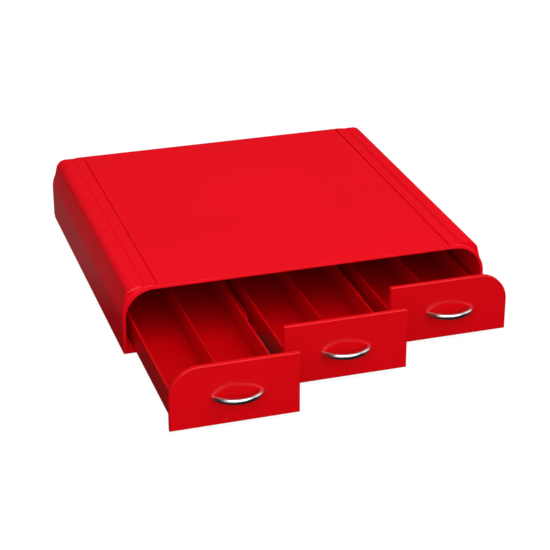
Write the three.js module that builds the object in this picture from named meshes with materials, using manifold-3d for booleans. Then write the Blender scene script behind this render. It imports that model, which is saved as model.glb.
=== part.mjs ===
// Countertop organizer with three sliding drawers for coffee pods.
// A low moulded casing (inverted U with squared shoulder rails) stands on a base plate.
// Three trays with snap-on fronts and chrome bow pulls slide on the base between guide rails.
// Millimetres, +Z up. The drawers open towards -Y. Inside the nested group, y = 0 is the casing's
// front plane and z = 0 is the surface that the feet stand on.

import * as THREE from 'three';
import { mergeVertices } from 'three/addons/utils/BufferGeometryUtils.js';
import Module from 'manifold-3d';

const wasm = await Module();
wasm.setup();

// ---- driving dimensions -------------------------------------------------------------------
const WIDTH = 330;            // casing, side to side
const DEPTH = 317;            // casing, front to back
const GAP = 0.3;              // clearance between separate pieces
const FOOT_RISE = 0.8;        // how far the rubber feet stand out below the base
const BASE_THICK = 2.5;
const BODY_HEIGHT = 60;       // base underside to the flat top
const SIDE_WALL = 3;
const TOP_WALL = 2.6;
const SHOULDER_R = 28.5;      // outer radius of the casing's upper corners
const FLANGE_REACH = 5.8;     // inward flange along the foot of each side wall
const FLANGE_THICK = 3.2;

const RAIL_INNER_X = 133.4;   // shoulder rail: inner edge, and step between its two strips
const RAIL_STEP_X = 144.3;
const RAIL_INNER_RISE = 0.3;  // inner and outer strip above the flat top
const RAIL_RISE = 0.6;
const RAIL_TILT = 14;         // lean of the outer face, degrees
const RAIL_EDGE_R = 7;
const RAIL_WALL = 2.4;
const RAIL_SETBACK = 4.5;     // the rails stop short of the casing's front and back edges

const DRAWER_PITCH = 107.8;
const FRONT_WIDTH = 106.8;
const FRONT_THICK = 4.2;
const FRONT_SKIN = 2.4;
const FRONT_RIM = 1.8;
const FRONT_CORNER_R = 25;
const TRAY_WIDTH = 95;
const TRAY_HEIGHT = 23;
const TRAY_WALL = 2;
const TRAY_FLOOR = 1.8;
const TRAY_CORNER_R = 3;
const TRAY_INNER_R = 2;
const DIVIDER_THICK = 2;

const HANDLE_R = 22.8;        // centreline radius of the bow
const HANDLE_REACH = 12.6;    // centreline reach in front of the drawer front
const HANDLE_BAR = 4.2;       // bar thickness seen from above
const HANDLE_BAR_HIGH = 5;
const HANDLE_RISE = 28.3;     // bar's centre above the base underside
const HANDLE_FOOT_X = 19.5;   // feet of the bow, from its middle
const HANDLE_FOOT_R = 2;
const HANDLE_FOOT_LONG = 3;

const RED = 0xd0101c;
const DARK_RUBBER = 0x1c1c1e;
const STEEL = 0x9a9da1;
const CHROME = 0xd8dade;

// How far each drawer stands open, and how far its pull sits right of the front's middle.
const DRAWERS = [
  { name: 'left', place: -1, open: 145, handleShift: 2, roundSide: -1 },
  { name: 'middle', place: 0, open: 100, handleShift: 0, roundSide: 0 },
  { name: 'right', place: 1, open: 58, handleShift: 1, roundSide: 1 },
];

// ---- heights and places worked out from them ------------------------------------------------
const HALF = WIDTH / 2;
const BASE_TOP = FOOT_RISE + BASE_THICK;
const FLOOR_Z = BASE_TOP + GAP;                      // underside of casing walls, trays, guides
const TOP_Z = FOOT_RISE + BODY_HEIGHT;
const CEILING_Z = TOP_Z - TOP_WALL;
const INNER_HALF = HALF - SIDE_WALL;
const INNER_R = SHOULDER_R - SIDE_WALL;
const SHOULDER_X = HALF - SHOULDER_R;
const SHOULDER_Z = TOP_Z - SHOULDER_R;
const INNER_SHOULDER_Z = CEILING_Z - INNER_R;
const FLANGE_X = INNER_HALF - FLANGE_REACH;
const FLANGE_TOP = FLOOR_Z + FLANGE_THICK;
const BACK_PANEL_THICK = 2.5;
const BACK_PANEL_INSET = 2;
const BACK_PANEL_FACE = DEPTH - BACK_PANEL_INSET;
const FRONT_BOTTOM = FLOOR_Z + 0.7;
const FRONT_TOP = CEILING_Z - 0.6;
const TRAY_FRONT = FRONT_SKIN + GAP;                 // behind the drawer front's outer face
const TRAY_REAR = BACK_PANEL_FACE - BACK_PANEL_THICK - 1;
const HANDLE_Z = FOOT_RISE + HANDLE_RISE;
const REACH_ALL = DRAWERS[0].open + HANDLE_REACH + HANDLE_BAR / 2;

const SCREW_R = 1.4;          // base screws
const SCREW_HEAD_R = 2.9;
const SCREW_HEAD_HIGH = 1.4;
const SMALL_SCREW_R = 1;      // screws behind the drawer fronts
const SMALL_HEAD_R = 2.2;
const SMALL_HEAD_HIGH = 1.2;
const SMALL_SCREW_TIP = 2.4;  // how far they reach in front of the drawer front
const HEAD_CHAMFER = 0.4;
const TIP_LONG = 0.8;
const ROUND_SIDES = 12;
const PAST = 1;               // how far a cutting shape reaches past what it cuts

const material = {
  red: new THREE.MeshStandardMaterial({ color: RED, roughness: 0.35, metalness: 0 }),
  rubber: new THREE.MeshStandardMaterial({ color: DARK_RUBBER, roughness: 0.9, metalness: 0 }),
  steel: new THREE.MeshStandardMaterial({ color: STEEL, roughness: 0.4, metalness: 1 }),
  chrome: new THREE.MeshStandardMaterial({ color: CHROME, roughness: 0.08, metalness: 1 }),
};

// ---- helpers ---------------------------------------------------------------------------------
function solid(geometry) {
  const bare = geometry.clone();
  bare.deleteAttribute('normal');
  bare.deleteAttribute('uv');
  const merged = mergeVertices(bare, 1e-4);
  return new wasm.Manifold(new wasm.Mesh({
    numProp: 3,
    vertProperties: new Float32Array(merged.attributes.position.array),
    triVerts: new Uint32Array(merged.index.array),
  }));
}

function fromSolid(body) {
  const mesh = body.getMesh();
  const geometry = new THREE.BufferGeometry();
  geometry.setAttribute('position', new THREE.BufferAttribute(mesh.vertProperties, 3));
  geometry.setIndex(new THREE.BufferAttribute(mesh.triVerts, 1));
  return geometry;
}

function box(x0, x1, y0, y1, z0, z1) {
  const geometry = new THREE.BoxGeometry(x1 - x0, y1 - y0, z1 - z0);
  geometry.translate((x0 + x1) / 2, (y0 + y1) / 2, (z0 + z1) / 2);
  return geometry;
}

// An outline drawn in x and z, run from yFront to yBack.
function runAlongY(shape, yFront, yBack) {
  const options = { depth: yBack - yFront, bevelEnabled: false, curveSegments: 8 };
  const geometry = new THREE.ExtrudeGeometry(shape, options);
  geometry.rotateX(Math.PI / 2);
  geometry.translate(0, yBack, 0);
  return geometry;
}

// A profile of [radius, height] points turned about the z axis.
function turned(profile) {
  const points = profile.map(([r, h]) => new THREE.Vector2(r, h));
  const geometry = new THREE.LatheGeometry(points, ROUND_SIDES);
  geometry.rotateX(Math.PI / 2);
  return geometry;
}

function rod(radius, z0, z1) {
  return turned([[0, z0], [radius, z0], [radius, z1], [0, z1]]);
}

function place(geometry, x, y, z) {
  geometry.translate(x, y, z);
  return geometry;
}

function roundedRectangle(width, length, radius) {
  const x = width / 2 - radius;
  const y = length / 2 - radius;
  const shape = new THREE.Shape();
  shape.absarc(x, y, radius, 0, Math.PI / 2);
  shape.absarc(-x, y, radius, Math.PI / 2, Math.PI);
  shape.absarc(-x, -y, radius, Math.PI, 1.5 * Math.PI);
  shape.absarc(x, -y, radius, 1.5 * Math.PI, 2 * Math.PI);
  shape.closePath();
  return shape;
}

// ---- casing ------------------------------------------------------------------------------------
// Inverted U: flat top, large shoulders, straight side walls.
function casingOutline() {
  const shape = new THREE.Shape();
  shape.moveTo(INNER_HALF, FLOOR_Z);
  shape.lineTo(HALF, FLOOR_Z);
  shape.absarc(SHOULDER_X, SHOULDER_Z, SHOULDER_R, 0, Math.PI / 2);
  shape.absarc(-SHOULDER_X, SHOULDER_Z, SHOULDER_R, Math.PI / 2, Math.PI);
  shape.lineTo(-HALF, FLOOR_Z);
  shape.lineTo(-INNER_HALF, FLOOR_Z);
  shape.absarc(-SHOULDER_X, INNER_SHOULDER_Z, INNER_R, Math.PI, Math.PI / 2, true);
  shape.absarc(SHOULDER_X, INNER_SHOULDER_Z, INNER_R, Math.PI / 2, 0, true);
  shape.closePath();
  return shape;
}

// Inward flange at the foot of a side wall; it starts behind the closed drawer front.
function footFlange(side) {
  const buried = SIDE_WALL / 2;
  const x0 = side > 0 ? FLANGE_X : -INNER_HALF - buried;
  const reach = FLANGE_REACH + buried;
  return box(x0, x0 + reach, FRONT_THICK + 1, DEPTH, FLOOR_Z, FLANGE_TOP);
}

// Squared shoulder rail: two raised strips, a rounded edge, and an outer face that leans in a
// little and runs smoothly into the shoulder below it.
function railOutline(side) {
  const shoulderAt = (x) => SHOULDER_Z + Math.sqrt(SHOULDER_R ** 2 - (x - SHOULDER_X) ** 2);
  const tilt = THREE.MathUtils.degToRad(RAIL_TILT);
  const buried = TOP_WALL / 2;
  const deep = SHOULDER_R - SIDE_WALL / 2;
  const top = TOP_Z + RAIL_RISE;
  const edgeZ = top - RAIL_EDGE_R;
  const leaned = SHOULDER_R - RAIL_EDGE_R - Math.sin(tilt) * (edgeZ - SHOULDER_Z);
  const edgeX = SHOULDER_X + leaned / Math.cos(tilt);
  const points = [
    [RAIL_STEP_X, top],
    [RAIL_STEP_X, TOP_Z + RAIL_INNER_RISE],
    [RAIL_INNER_X, TOP_Z + RAIL_INNER_RISE],
    [RAIL_INNER_X, TOP_Z - buried],
    [SHOULDER_X, TOP_Z - buried],
    [RAIL_STEP_X, shoulderAt(RAIL_STEP_X) - buried],
    [edgeX, shoulderAt(edgeX) - 2 * buried],
    [SHOULDER_X + deep * Math.cos(tilt), SHOULDER_Z + deep * Math.sin(tilt)],
    [SHOULDER_X + SHOULDER_R * Math.cos(tilt), SHOULDER_Z + SHOULDER_R * Math.sin(tilt)],
  ];
  const steps = 4;
  for (let i = 0; i <= steps; i += 1) {
    const angle = tilt + (Math.PI / 2 - tilt) * (i / steps);
    points.push([
      edgeX + RAIL_EDGE_R * Math.cos(angle), edgeZ + RAIL_EDGE_R * Math.sin(angle),
    ]);
  }
  return new THREE.Shape(points.map(([x, z]) => new THREE.Vector2(side * x, z)));
}

// The hollow inside a rail, between its walls and the shoulder, drawn smaller by inset.
function railCoreOutline(side, inset) {
  const reach = SHOULDER_R + inset;
  const outer = RAIL_CORE_X - inset;
  const top = TOP_Z - RAIL_WALL - inset;
  const low = Math.acos((outer - SHOULDER_X) / reach);
  const high = Math.asin((top - SHOULDER_Z) / reach);
  const points = [[outer, top]];
  const steps = 4;
  for (let i = 0; i <= steps; i += 1) {
    const angle = high + (low - high) * (i / steps);
    points.push([SHOULDER_X + reach * Math.cos(angle), SHOULDER_Z + reach * Math.sin(angle)]);
  }
  return new THREE.Shape(points.map(([x, z]) => new THREE.Vector2(side * x, z)));
}

const RAIL_CORE_X = 155.6;    // outer side of the hollow inside a rail
const RAIL_END = DEPTH - RAIL_SETBACK;
const PLUG_LENGTH = 6;
const CASE_SCREW_X = INNER_HALF - 3;
const CASE_SCREW_YS = [20, DEPTH / 2, DEPTH - 20];
const GUIDE_X = DRAWER_PITCH / 2;
const GUIDE_SCREW_YS = [50, DEPTH - 60];
const SCREW_TIP = FLOOR_Z + 2.2;          // into a flange
const GUIDE_SCREW_TIP = FLOOR_Z + 6;      // into a guide rail
const HEAD_SEAT = FOOT_RISE + 0.2;        // the heads sit a little inside the base

function casingShell() {
  let body = solid(runAlongY(casingOutline(), 0, DEPTH));
  for (const side of [-1, 1]) {
    body = body.add(solid(footFlange(side)));
    body = body.add(solid(runAlongY(railOutline(side), RAIL_SETBACK, RAIL_END)));
    const core = runAlongY(railCoreOutline(side, 0), RAIL_SETBACK + RAIL_WALL, DEPTH + PAST);
    body = body.subtract(solid(core));
    for (const y of CASE_SCREW_YS) {
      const hole = rod(SCREW_R + GAP, FLOOR_Z - PAST, SCREW_TIP + GAP);
      body = body.subtract(solid(place(hole, side * CASE_SCREW_X, y, 0)));
    }
  }
  return fromSolid(body);
}

function railPlug(side) {
  return runAlongY(railCoreOutline(side, GAP), RAIL_END - PLUG_LENGTH, RAIL_END);
}

// ---- base, back and guides ------------------------------------------------------------------------
const FOOT_R = 7;
const FOOT_POCKET = 1.2;
const FOOT_INSET = 18;
const BACK_FOOT_INSET = 40;
const FOOT_PLACES = [
  ['front_left', -HALF + FOOT_INSET, FOOT_INSET],
  ['front_right', HALF - FOOT_INSET, FOOT_INSET],
  ['back_left', -HALF + FOOT_INSET, DEPTH - BACK_FOOT_INSET],
  ['back_right', HALF - FOOT_INSET, DEPTH - BACK_FOOT_INSET],
];

function screwPlaces() {
  const places = [];
  for (const side of [-1, 1]) {
    for (const y of CASE_SCREW_YS) places.push([side * CASE_SCREW_X, y, SCREW_TIP]);
    for (const y of GUIDE_SCREW_YS) places.push([side * GUIDE_X, y, GUIDE_SCREW_TIP]);
  }
  return places;
}

function basePlate() {
  let body = solid(box(-HALF, HALF, 0, DEPTH, FOOT_RISE, BASE_TOP));
  for (const [, x, y] of FOOT_PLACES) {
    const pocket = rod(FOOT_R + GAP, FOOT_RISE - PAST, FOOT_RISE + FOOT_POCKET);
    body = body.subtract(solid(place(pocket, x, y, 0)));
  }
  for (const [x, y] of screwPlaces()) {
    const seat = turned([
      [0, FOOT_RISE - PAST],
      [SCREW_HEAD_R + GAP, FOOT_RISE - PAST],
      [SCREW_HEAD_R + GAP, HEAD_SEAT + SCREW_HEAD_HIGH + GAP],
      [SCREW_R + GAP, HEAD_SEAT + SCREW_HEAD_HIGH + GAP],
      [SCREW_R + GAP, BASE_TOP + PAST],
      [0, BASE_TOP + PAST],
    ]);
    body = body.subtract(solid(place(seat, x, y, 0)));
  }
  return fromSolid(body);
}

function baseScrew(tip) {
  return turned([
    [0, HEAD_SEAT],
    [SCREW_HEAD_R - HEAD_CHAMFER, HEAD_SEAT],
    [SCREW_HEAD_R, HEAD_SEAT + HEAD_CHAMFER],
    [SCREW_HEAD_R, HEAD_SEAT + SCREW_HEAD_HIGH],
    [SCREW_R, HEAD_SEAT + SCREW_HEAD_HIGH],
    [SCREW_R, tip - TIP_LONG],
    [0, tip],
  ]);
}

function foot() {
  const top = FOOT_RISE + FOOT_POCKET - GAP;
  const chamfer = 0.6;
  return turned([
    [0, 0],
    [FOOT_R - chamfer, 0],
    [FOOT_R, chamfer],
    [FOOT_R, top],
    [0, top],
  ]);
}

function backPanel() {
  const half = INNER_HALF - GAP;
  const radius = INNER_R - GAP;
  const notchX = FLANGE_X - GAP;
  const notchZ = FLANGE_TOP + GAP;
  const shape = new THREE.Shape();
  shape.moveTo(-notchX, FLOOR_Z);
  shape.lineTo(notchX, FLOOR_Z);
  shape.lineTo(notchX, notchZ);
  shape.lineTo(half, notchZ);
  shape.absarc(SHOULDER_X, INNER_SHOULDER_Z, radius, 0, Math.PI / 2);
  shape.absarc(-SHOULDER_X, INNER_SHOULDER_Z, radius, Math.PI / 2, Math.PI);
  shape.lineTo(-half, notchZ);
  shape.lineTo(-notchX, notchZ);
  shape.closePath();
  return runAlongY(shape, BACK_PANEL_FACE - BACK_PANEL_THICK, BACK_PANEL_FACE);
}

// Low strip between two trays, tapered at its front end to lead a tray in.
const GUIDE_HALF = 5;
const GUIDE_HIGH = 9;
const GUIDE_FRONT = 10;
const GUIDE_LEAD = 14;        // length of the taper

function guideRail() {
  const plan = new THREE.Shape([
    new THREE.Vector2(-GUIDE_HALF, GUIDE_FRONT + GUIDE_LEAD),
    new THREE.Vector2(-GUIDE_HALF / 2, GUIDE_FRONT),
    new THREE.Vector2(GUIDE_HALF / 2, GUIDE_FRONT),
    new THREE.Vector2(GUIDE_HALF, GUIDE_FRONT + GUIDE_LEAD),
    new THREE.Vector2(GUIDE_HALF, TRAY_REAR),
    new THREE.Vector2(-GUIDE_HALF, TRAY_REAR),
  ]);
  const strip = new THREE.ExtrudeGeometry(plan, { depth: GUIDE_HIGH, bevelEnabled: false });
  let body = solid(place(strip, 0, 0, FLOOR_Z));
  for (const y of GUIDE_SCREW_YS) {
    const hole = rod(SCREW_R + GAP, FLOOR_Z - PAST, GUIDE_SCREW_TIP + GAP);
    body = body.subtract(solid(place(hole, 0, y, 0)));
  }
  return fromSolid(body);
}

// ---- drawer ------------------------------------------------------------------------------------------
// Every drawer is drawn closed, about its own middle; its group then moves it.
const TRAY_LENGTH = TRAY_REAR - TRAY_FRONT;
const TRAY_MIDDLE = (TRAY_REAR + TRAY_FRONT) / 2;
const TRAY_TOP = FLOOR_Z + TRAY_HEIGHT;
const RIB_THICK = 1.6;        // ribs that hold a divider's ends
const RIB_REACH = 3;
const RIB_DROP = 1.5;

function tray() {
  const outside = new THREE.ExtrudeGeometry(
    roundedRectangle(TRAY_WIDTH, TRAY_LENGTH, TRAY_CORNER_R),
    { depth: TRAY_HEIGHT, bevelEnabled: false, curveSegments: 4 },
  );
  const inside = new THREE.ExtrudeGeometry(
    roundedRectangle(TRAY_WIDTH - 2 * TRAY_WALL, TRAY_LENGTH - 2 * TRAY_WALL, TRAY_INNER_R),
    { depth: TRAY_HEIGHT, bevelEnabled: false, curveSegments: 4 },
  );
  place(outside, 0, TRAY_MIDDLE, FLOOR_Z);
  place(inside, 0, TRAY_MIDDLE, FLOOR_Z + TRAY_FLOOR);
  let body = solid(outside).subtract(solid(inside));
  const slot = DIVIDER_THICK / 2 + GAP;
  const ribTop = TRAY_TOP - RIB_DROP;
  for (const side of [-1, 1]) {
    const x0 = side > 0 ? slot : -slot - RIB_THICK;
    for (const [y0, y1] of [
      [TRAY_FRONT + TRAY_WALL / 2, TRAY_FRONT + TRAY_WALL + RIB_REACH],
      [TRAY_REAR - TRAY_WALL - RIB_REACH, TRAY_REAR - TRAY_WALL / 2],
    ]) {
      const rib = box(x0, x0 + RIB_THICK, y0, y1, FLOOR_Z + TRAY_FLOOR / 2, ribTop);
      body = body.add(solid(rib));
    }
  }
  return fromSolid(body);
}

function laneDivider() {
  const y0 = TRAY_FRONT + TRAY_WALL + GAP;
  const y1 = TRAY_REAR - TRAY_WALL - GAP;
  const half = DIVIDER_THICK / 2;
  return box(-half, half, y0, y1, FLOOR_Z + TRAY_FLOOR + GAP, TRAY_TOP);
}

// Drawer front outline; the outermost drawers follow the casing's shoulder at one top corner.
function frontOutline(roundSide, inset, bottom) {
  const half = FRONT_WIDTH / 2 - inset;
  const top = FRONT_TOP - inset;
  const large = FRONT_CORNER_R - inset;
  const small = 1;
  const right = roundSide > 0 ? large : small;
  const left = roundSide < 0 ? large : small;
  const shape = new THREE.Shape();
  shape.moveTo(-half, bottom);
  shape.lineTo(half, bottom);
  shape.absarc(half - right, top - right, right, 0, Math.PI / 2);
  shape.absarc(-half + left, top - left, left, Math.PI / 2, Math.PI);
  shape.closePath();
  return shape;
}

// A skin with a rim along its top and sides; the tray's front wall sits inside the rim.
function drawerFront(roundSide, handleShift) {
  let body = solid(runAlongY(frontOutline(roundSide, 0, FRONT_BOTTOM), 0, FRONT_THICK));
  const pocket = frontOutline(roundSide, FRONT_RIM, FRONT_BOTTOM - PAST);
  body = body.subtract(solid(runAlongY(pocket, FRONT_SKIN, FRONT_THICK + PAST)));
  for (const side of [-1, 1]) {
    const hole = rod(SMALL_SCREW_R + GAP, -PAST, FRONT_THICK + PAST);
    hole.rotateX(-Math.PI / 2);
    place(hole, handleShift + side * HANDLE_FOOT_X, 0, HANDLE_Z);
    body = body.subtract(solid(hole));
  }
  return fromSolid(body);
}

// Bow: an oval bar along an arc that bulges forward, with two round feet on the drawer front.
function handleBow() {
  const centreY = HANDLE_R - HANDLE_REACH;
  const endAngle = Math.asin((centreY - GAP) / HANDLE_R);
  const steps = 14;
  const points = [];
  for (let i = 0; i <= steps; i += 1) {
    const angle = Math.PI + endAngle + (Math.PI - 2 * endAngle) * (i / steps);
    points.push(new THREE.Vector3(
      HANDLE_R * Math.cos(angle), centreY + HANDLE_R * Math.sin(angle), HANDLE_Z,
    ));
  }
  const section = new THREE.Shape();
  section.absellipse(0, 0, HANDLE_BAR_HIGH / 2, HANDLE_BAR / 2, 0, 2 * Math.PI);
  const bar = new THREE.ExtrudeGeometry(section, {
    steps, curveSegments: 5, bevelEnabled: false,
    extrudePath: new THREE.CatmullRomCurve3(points),
  });
  let body = solid(bar);
  for (const side of [-1, 1]) {
    const post = rod(HANDLE_FOOT_R, -PAST, HANDLE_FOOT_LONG);
    post.rotateX(Math.PI / 2);
    body = body.add(solid(place(post, side * HANDLE_FOOT_X, 0, HANDLE_Z)));
  }
  const high = HANDLE_BAR_HIGH;
  const behind = box(
    -2 * HANDLE_R, 2 * HANDLE_R, -GAP, HANDLE_R, HANDLE_Z - high, HANDLE_Z + high,
  );
  body = body.subtract(solid(behind));
  for (const side of [-1, 1]) {
    const hole = rod(SMALL_SCREW_R + GAP, -PAST, SMALL_SCREW_TIP + GAP);
    hole.rotateX(Math.PI / 2);
    body = body.subtract(solid(place(hole, side * HANDLE_FOOT_X, 0, HANDLE_Z)));
  }
  return fromSolid(body);
}

// Screw from behind the drawer front's skin into a foot of the bow.
function handleScrew() {
  const seat = FRONT_SKIN + GAP;
  const screw = turned([
    [0, -SMALL_SCREW_TIP],
    [SMALL_SCREW_R, -SMALL_SCREW_TIP + TIP_LONG],
    [SMALL_SCREW_R, seat],
    [SMALL_HEAD_R, seat],
    [SMALL_HEAD_R, seat + SMALL_HEAD_HIGH - HEAD_CHAMFER],
    [SMALL_HEAD_R - HEAD_CHAMFER, seat + SMALL_HEAD_HIGH],
    [0, seat + SMALL_HEAD_HIGH],
  ]);
  screw.rotateX(-Math.PI / 2);
  return screw;
}

// ---- assembly ------------------------------------------------------------------------------------------
function named(name, geometry, finish) {
  const mesh = new THREE.Mesh(geometry, finish);
  mesh.name = name;
  return mesh;
}

const group = new THREE.Group();
group.position.y = -(DEPTH - REACH_ALL) / 2;

group.add(named('casing_shell', casingShell(), material.red));
group.add(named('base_plate', basePlate(), material.red));
group.add(named('back_panel', backPanel(), material.red));
group.add(named('rail_plug_left', railPlug(-1), material.red));
group.add(named('rail_plug_right', railPlug(1), material.red));

for (const [name, side] of [['left', -1], ['right', 1]]) {
  const guide = named(`guide_rail_${name}`, guideRail(), material.red);
  guide.position.x = side * GUIDE_X;
  group.add(guide);
}

for (const [name, x, y] of FOOT_PLACES) {
  const pad = named(`foot_${name}`, foot(), material.rubber);
  pad.position.set(x, y, 0);
  group.add(pad);
}

screwPlaces().forEach(([x, y, tip], index) => {
  const screw = named(`base_screw_${index + 1}`, baseScrew(tip), material.steel);
  screw.position.set(x, y, 0);
  group.add(screw);
});

for (const { name, place: slot, open, handleShift, roundSide } of DRAWERS) {
  const drawer = new THREE.Group();
  drawer.position.set(slot * DRAWER_PITCH, -open, 0);
  const front = drawerFront(roundSide, handleShift);
  drawer.add(named(`${name}_tray`, tray(), material.red));
  drawer.add(named(`${name}_lane_divider`, laneDivider(), material.red));
  drawer.add(named(`${name}_drawer_front`, front, material.red));
  const bow = named(`${name}_handle_bow`, handleBow(), material.chrome);
  bow.position.x = handleShift;
  drawer.add(bow);
  for (const [mark, side] of [['a', -1], ['b', 1]]) {
    const screw = named(`${name}_handle_screw_${mark}`, handleScrew(), material.steel);
    screw.position.set(handleShift + side * HANDLE_FOOT_X, 0, HANDLE_Z);
    drawer.add(screw);
  }
  group.add(drawer);
}

export default group;
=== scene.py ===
# %% [markdown]
# # A countertop organizer with three sliding drawers
# The real object is a low box of moulded red plastic. Its casing is an inverted U with raised
# rails along both shoulders, and three shallow trays with bow pulls slide out of its open front.
# The working model is loaded first and never changed. Every visible piece is modelled where it
# says, in metres, and rides on one of its bodies.

# %% Load the working model
import math

import bmesh
import bpy
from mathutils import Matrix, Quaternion, Vector


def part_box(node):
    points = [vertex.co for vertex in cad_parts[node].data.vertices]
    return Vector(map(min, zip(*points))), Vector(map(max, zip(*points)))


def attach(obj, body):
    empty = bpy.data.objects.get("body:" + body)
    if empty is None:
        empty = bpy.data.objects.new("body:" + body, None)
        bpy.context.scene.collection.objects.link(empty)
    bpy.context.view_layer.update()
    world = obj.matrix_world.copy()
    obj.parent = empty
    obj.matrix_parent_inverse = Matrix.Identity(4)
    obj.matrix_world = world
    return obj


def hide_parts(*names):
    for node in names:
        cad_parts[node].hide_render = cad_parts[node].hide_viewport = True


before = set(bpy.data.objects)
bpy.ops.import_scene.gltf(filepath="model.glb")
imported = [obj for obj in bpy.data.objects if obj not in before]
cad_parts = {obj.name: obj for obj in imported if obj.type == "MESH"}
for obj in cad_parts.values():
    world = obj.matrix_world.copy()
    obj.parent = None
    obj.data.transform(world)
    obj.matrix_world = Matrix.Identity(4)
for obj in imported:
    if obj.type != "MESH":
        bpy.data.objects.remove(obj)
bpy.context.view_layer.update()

MM = 0.001

# %% [markdown]
# ## The main places
# The casing's front plane, its half width and its flat top place everything else, so they are
# read from the working model once. The few sizes below it can't be read from a node's box.

# %% Read the main places
casing_low, casing_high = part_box("casing_shell")
FRONT_Y, BACK_Y = casing_low.y, casing_high.y
HALF_WIDTH = casing_high.x
FLOOR_Z = casing_low.z
RAIL_RISE = 0.6 * MM
TOP_Z = casing_high.z - RAIL_RISE
SIDE_WALL, TOP_WALL = 3 * MM, 2.6 * MM
SHOULDER_R = 28.5 * MM
DRAWERS = ("left", "middle", "right")
print("front", round(FRONT_Y, 4), "back", round(BACK_Y, 4), "top", round(TOP_Z, 4))

# %% [markdown]
# ## The camera
# The camera decides what matters, so it is placed before any piece. It stands a little left of
# the front and looks down at about 25 degrees. A long lens far away keeps the box's edges nearly
# parallel, as in a catalogue; a short lens close by would make the front drawer look huge.

# %% Place the camera
CAMERA_AT = Vector((-0.4324, -1.37685, 0.6925))
TURN, DOWN, LEAN = (math.radians(angle) for angle in (17.22, 25.08, 0.19))
LENS_LENGTH = 114.37

ahead = Vector((
    math.sin(TURN) * math.cos(DOWN),
    math.cos(TURN) * math.cos(DOWN),
    -math.sin(DOWN),
))
bpy.ops.object.camera_add(location=CAMERA_AT)
camera = bpy.context.object
camera.name = "camera"
camera.rotation_mode = "QUATERNION"
camera.rotation_quaternion = Quaternion(ahead, LEAN) @ ahead.to_track_quat("-Z", "Y")
camera.data.lens = LENS_LENGTH
bpy.context.scene.camera = camera
bpy.context.scene.view_settings.view_transform = "Standard"
print("camera", round(CAMERA_AT.length, 2), "m from the origin, lens", LENS_LENGTH, "mm")

# %% [markdown]
# ## Node helpers
# Every finish below is a small tree of shader nodes. A few helpers add a node, start a tree, scale
# a value and work out a number, so that each finish reads as a short list of what it is made of.

# %% Helpers for shader nodes
def add_node(tree, kind, **sockets):
    """Add a shader node; a number or colour given by socket name is set, with _ for a space."""
    node = tree.nodes.new("ShaderNode" + kind)
    for name, value in sockets.items():
        node.inputs[name.replace("_", " ")].default_value = value
    return node


def new_tree(block):
    """Switch on a block's nodes, clear them and return its tree."""
    block.use_nodes = True
    block.node_tree.nodes.clear()
    return block.node_tree


def ramp(tree, value, low, high, start, end):
    """Turn a value that runs from low to high into one that runs from start to end."""
    node = add_node(tree, "MapRange", From_Min=low, From_Max=high, To_Min=start, To_Max=end)
    tree.links.new(value, node.inputs["Value"])
    return node.outputs[0]


def calculate(tree, operation, *values):
    """Work out one number from others; each is a socket or a plain number."""
    node = add_node(tree, "Math")
    node.operation = operation
    for socket, value in zip(node.inputs, values):
        if isinstance(value, (int, float)):
            socket.default_value = value
        else:
            tree.links.new(value, socket)
    return node.outputs[0]


print("node helpers ready")

# %% [markdown]
# ## Floor, daylight and lamps
# The object stands on a wide pale floor. A white floor would mirror itself in glossy red plastic
# and wash it out, so the Light Path node gives it more than one face: the camera sees a nearly
# white floor, and mirror rays and all others meet a dark one, as in a studio with black flags
# around the table. For mirror rays only, a strip along the back half of the left wall glows
# lighter: a painted reflection that puts a soft sheen low on that wall.
#
# A glowing floor has no shadows. Paper under a lamp would have them, but it would be mirrored
# too. So shade is painted on: the glow is darkened by ambient occlusion, where walls close it in,
# in a strip under each gap between two drawers. A strip starts well behind the forward drawer's
# front, at the nearest floor that can be seen through the gap.

# %% Lay the floor
FLOOR_SIZE = 14
WHITE = (1, 1, 1, 1)
SEEN_WHITE, SEEN_DARK = 0.93, 0.02
MIRRORED_DARK, MIRRORED_SHEEN = 0.012, 0.10
SHEEN_FRONT, SHEEN_BACK = 0, 0.12
SHEEN_LEFT, SHEEN_RIGHT = -0.27, -0.20
GAP_X = (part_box("left_drawer_front")[1].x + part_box("middle_drawer_front")[0].x) / -2
GAP_HALF, GAP_START = 14 * MM, 80 * MM
WALLS_NEAR, SHUT_IN, OPEN = 30 * MM, 0.15, 0.48


def by_ray(tree, seen, mirrored, lighting, out):
    """Show one shader to the camera, one to mirror rays and one to every other ray."""
    path = add_node(tree, "LightPath")
    other = add_node(tree, "MixShader")
    tree.links.new(path.outputs["Is Glossy Ray"], other.inputs["Fac"])
    tree.links.new(lighting.outputs[0], other.inputs[1])
    tree.links.new(mirrored.outputs[0], other.inputs[2])
    final = add_node(tree, "MixShader")
    tree.links.new(path.outputs["Is Camera Ray"], final.inputs["Fac"])
    tree.links.new(other.outputs[0], final.inputs[1])
    tree.links.new(seen.outputs[0], final.inputs[2])
    tree.links.new(final.outputs[0], out.inputs["Surface"])


bpy.ops.mesh.primitive_plane_add(size=FLOOR_SIZE)
floor = bpy.context.object
floor.name = "floor"
floor_paint = bpy.data.materials.new("pale_floor")
tree = new_tree(floor_paint)
place = add_node(tree, "TexCoord").outputs["Object"]
at = add_node(tree, "SeparateXYZ")
tree.links.new(place, at.inputs[0])

# Painted shade: under the gaps between drawers, the glow that the camera sees is darkened where
# ambient occlusion finds walls closing in.
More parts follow.
